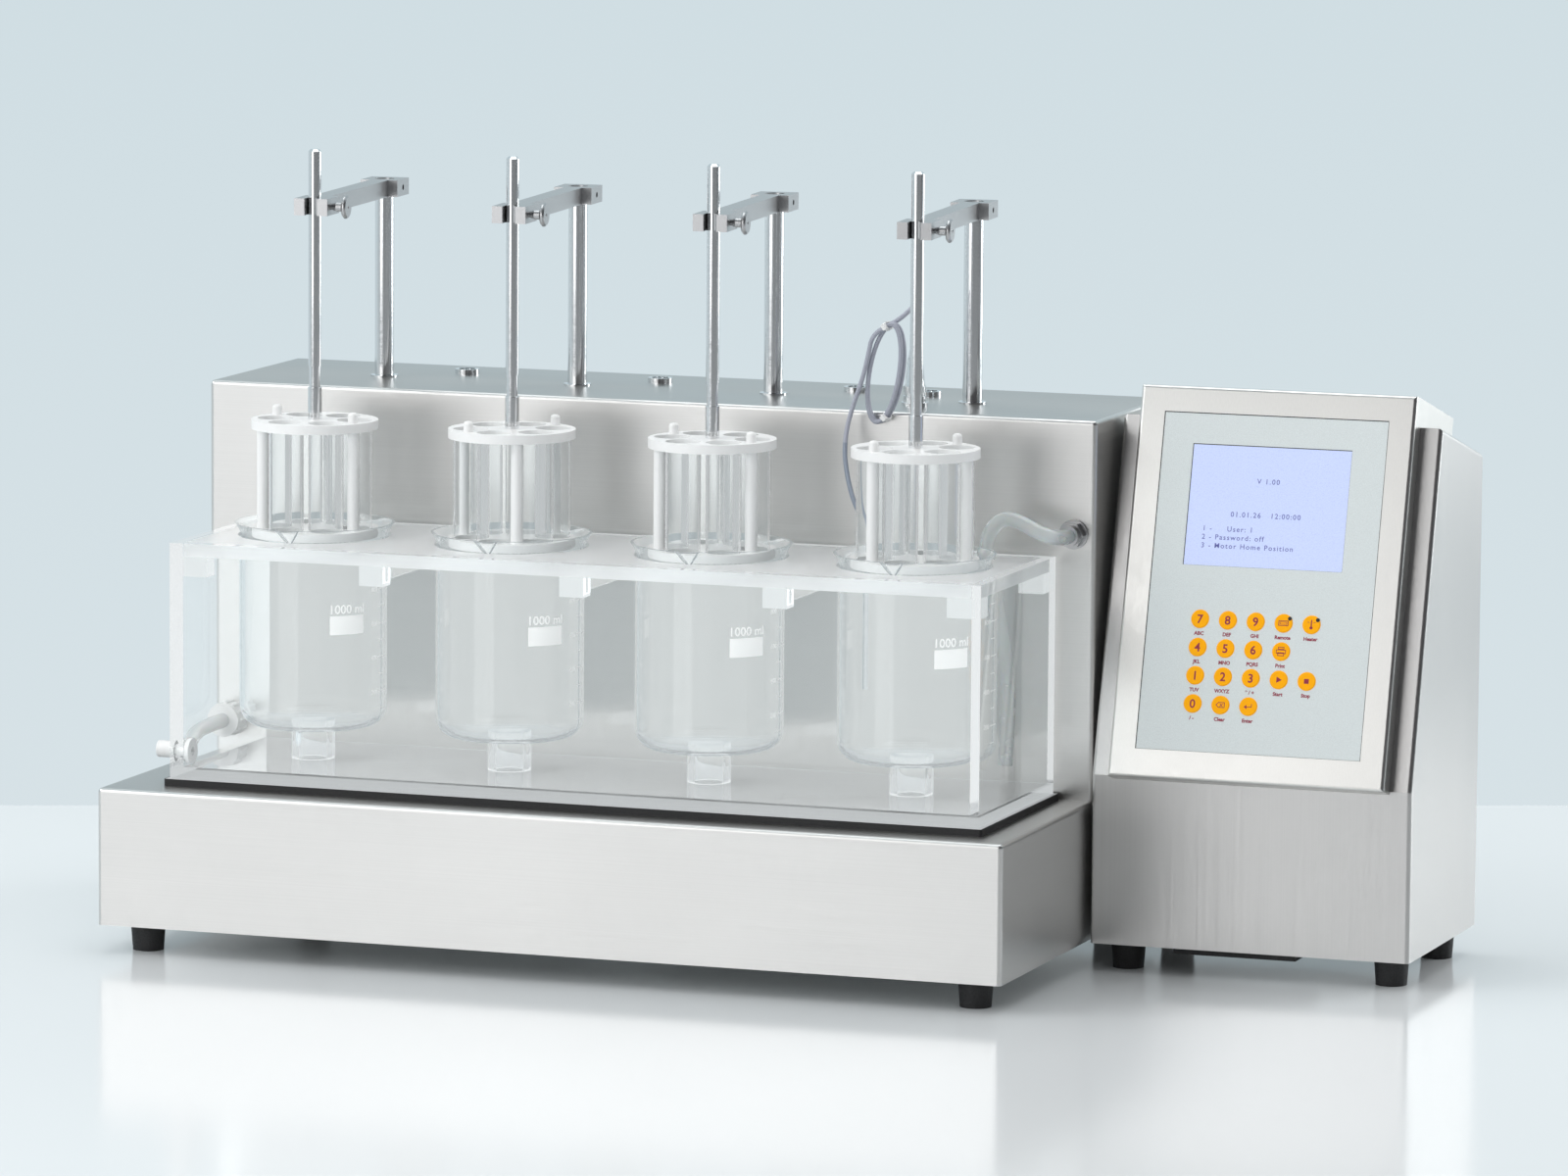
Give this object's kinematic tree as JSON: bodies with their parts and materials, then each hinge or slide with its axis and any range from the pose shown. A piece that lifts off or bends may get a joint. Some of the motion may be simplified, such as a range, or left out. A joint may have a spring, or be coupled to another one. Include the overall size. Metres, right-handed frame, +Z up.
{
  "type": "tablet disintegration tester",
  "caption": "Tablet disintegration tester with basket racks on lift posts over a heated clear bath, and a separate control unit with a display and keys.",
  "frame": {"origin": "centre of the footprint of both units, on the table under the feet", "axes": "+Z up, +X to the right along the row of stations, +Y to the back"},
  "size_m": [0.908, 0.364, 0.5655],
  "materials": {
    "brushed_steel": "fine brushed",
    "chrome": "polished",
    "aluminium": "satin anodised",
    "black_rubber": "matte",
    "clear_acrylic": "polished, clear",
    "cover_acrylic": "pale translucent",
    "glass": "clear",
    "white_plastic": "smooth white",
    "grey_cable": "satin grey",
    "clear_hose": "translucent",
    "membrane": "satin pale blue grey",
    "screen": "lit screen",
    "key_amber": "embossed film",
    "motor": "satin black",
    "inlet_black": "moulded black"
  },
  "bodies": {
    "tester": {"base_housing": "brushed_steel", "drive_housing": "brushed_steel", "service_cover": "brushed_steel", "rubber_feet": "black_rubber", "rubber_mat": "black_rubber", "bath_tank": "clear_acrylic", "cover_supports": "clear_acrylic", "bath_cover": "cover_acrylic", "beakers": "glass", "beaker_stands": "clear_acrylic", "guide_bushes": "chrome", "drive_motors": "motor", "sensor_sockets": "chrome", "probe_plug": "chrome", "cable_rise": "grey_cable", "cable_hank": "grey_cable", "cable_drop": "grey_cable", "cable_ties": "white_plastic", "temperature_probe": "chrome", "bath_hose": "clear_hose", "hose_gland": "chrome", "inlet_union": "white_plastic", "suction_hose": "clear_hose", "drain_spigot": "white_plastic", "control_housing": "brushed_steel", "control_cover": "brushed_steel", "display_module": "brushed_steel", "membrane_panel": "membrane", "display_window": "screen", "keys": "key_amber", "handling_slab": "inlet_black", "mains_inlets": "inlet_black"},
    "lift_1": {"lift_post_1": "chrome", "lift_arm_1": "aluminium"},
    "pinion_1": {"lift_pinion_1": "chrome"},
    "thumbscrew_1": {"arm_thumbscrew_1": "chrome"},
    "basket_1": {"basket_shaft_1": "chrome", "basket_frame_1": "white_plastic", "basket_tubes_1": "glass"},
    "lift_2": {"lift_post_2": "chrome", "lift_arm_2": "aluminium"},
    "pinion_2": {"lift_pinion_2": "chrome"},
    "thumbscrew_2": {"arm_thumbscrew_2": "chrome"},
    "basket_2": {"basket_shaft_2": "chrome", "basket_frame_2": "white_plastic", "basket_tubes_2": "glass"},
    "lift_3": {"lift_post_3": "chrome", "lift_arm_3": "aluminium"},
    "pinion_3": {"lift_pinion_3": "chrome"},
    "thumbscrew_3": {"arm_thumbscrew_3": "chrome"},
    "basket_3": {"basket_shaft_3": "chrome", "basket_frame_3": "white_plastic", "basket_tubes_3": "glass"},
    "lift_4": {"lift_post_4": "chrome", "lift_arm_4": "aluminium"},
    "pinion_4": {"lift_pinion_4": "chrome"},
    "thumbscrew_4": {"arm_thumbscrew_4": "chrome"},
    "basket_4": {"basket_shaft_4": "chrome", "basket_frame_4": "white_plastic", "basket_tubes_4": "glass"}
  },
  "joints": [
    {"name": "lift_travel_1", "type": "slide", "parent": "tester", "child": "lift_1", "axis": [0, 0, 1], "range_m": [-0.105, 0]},
    {"name": "pinion_turn_1", "type": "hinge", "parent": "tester", "child": "pinion_1", "pos_m": [-0.348, 0.0765, 0.26098], "axis": [1, 0, 0], "range_deg": [-402, 2]},
    {"name": "thumbscrew_turn_1", "type": "hinge", "parent": "lift_1", "child": "thumbscrew_1", "pos_m": [-0.335, -0.068, 0.525], "axis": [0.9969, 0.079, 0], "range_deg": [0, 720]},
    {"name": "basket_height_1", "type": "slide", "parent": "lift_1", "child": "basket_1", "axis": [0, 0, 1], "range_m": [-0.02, 0.02]},
    {"name": "lift_travel_2", "type": "slide", "parent": "tester", "child": "lift_2", "axis": [0, 0, 1], "range_m": [-0.105, 0]},
    {"name": "pinion_turn_2", "type": "hinge", "parent": "tester", "child": "pinion_2", "pos_m": [-0.198, 0.0765, 0.26098], "axis": [1, 0, 0], "range_deg": [-402, 2]},
    {"name": "thumbscrew_turn_2", "type": "hinge", "parent": "lift_2", "child": "thumbscrew_2", "pos_m": [-0.185, -0.068, 0.525], "axis": [0.9969, 0.079, 0], "range_deg": [0, 720]},
    {"name": "basket_height_2", "type": "slide", "parent": "lift_2", "child": "basket_2", "axis": [0, 0, 1], "range_m": [-0.02, 0.02]},
    {"name": "lift_travel_3", "type": "slide", "parent": "tester", "child": "lift_3", "axis": [0, 0, 1], "range_m": [-0.105, 0]},
    {"name": "pinion_turn_3", "type": "hinge", "parent": "tester", "child": "pinion_3", "pos_m": [-0.048, 0.0765, 0.26098], "axis": [1, 0, 0], "range_deg": [-402, 2]},
    {"name": "thumbscrew_turn_3", "type": "hinge", "parent": "lift_3", "child": "thumbscrew_3", "pos_m": [-0.035, -0.068, 0.525], "axis": [0.9969, 0.079, 0], "range_deg": [0, 720]},
    {"name": "basket_height_3", "type": "slide", "parent": "lift_3", "child": "basket_3", "axis": [0, 0, 1], "range_m": [-0.02, 0.02]},
    {"name": "lift_travel_4", "type": "slide", "parent": "tester", "child": "lift_4", "axis": [0, 0, 1], "range_m": [-0.105, 0]},
    {"name": "pinion_turn_4", "type": "hinge", "parent": "tester", "child": "pinion_4", "pos_m": [0.102, 0.0765, 0.26098], "axis": [1, 0, 0], "range_deg": [-402, 2]},
    {"name": "thumbscrew_turn_4", "type": "hinge", "parent": "lift_4", "child": "thumbscrew_4", "pos_m": [0.115, -0.068, 0.525], "axis": [0.9969, 0.079, 0], "range_deg": [0, 720]},
    {"name": "basket_height_4", "type": "slide", "parent": "lift_4", "child": "basket_4", "axis": [0, 0, 1], "range_m": [-0.02, 0.02]}
  ],
  "couplings": [
    {"joint": "pinion_turn_1", "follows": "lift_travel_1", "rad_per_m": 66.667},
    {"joint": "pinion_turn_2", "follows": "lift_travel_2", "rad_per_m": 66.667},
    {"joint": "pinion_turn_3", "follows": "lift_travel_3", "rad_per_m": 66.667},
    {"joint": "pinion_turn_4", "follows": "lift_travel_4", "rad_per_m": 66.667}
  ]
}
